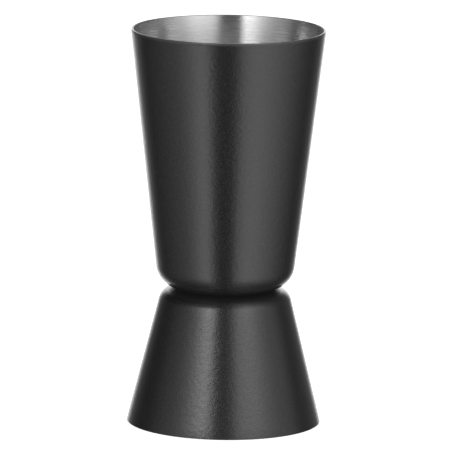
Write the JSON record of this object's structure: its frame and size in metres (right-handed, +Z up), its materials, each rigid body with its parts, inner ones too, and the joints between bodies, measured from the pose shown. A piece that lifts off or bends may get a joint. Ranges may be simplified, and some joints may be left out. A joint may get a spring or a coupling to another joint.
{
  "type": "bar jigger",
  "caption": "Double-ended bar jigger: a tall measuring cup and a short one welded base to base, steel with a satin black outside.",
  "frame": {"origin": "on the axis, on the surface that the small cup's rim stands on", "axes": "+Z up along the turned axis, from the small cup's rim to the large cup's rim; X and Y are alike, as the part is turned"},
  "size_m": [0.0384, 0.0384, 0.0787],
  "materials": {
    "brushed_steel": "bare stainless steel, brushed round the axis inside, with a bare rim",
    "black_lacquer": "satin black lacquer with a very fine grain",
    "weld_steel": "fused steel, hidden between the two cups"
  },
  "bodies": {
    "root": {"large_cup": "brushed_steel", "small_cup": "brushed_steel", "black_coat": "black_lacquer", "weld_nugget_1": "weld_steel", "weld_nugget_2": "weld_steel", "weld_nugget_3": "weld_steel", "weld_nugget_4": "weld_steel"}
  },
  "joints": []
}
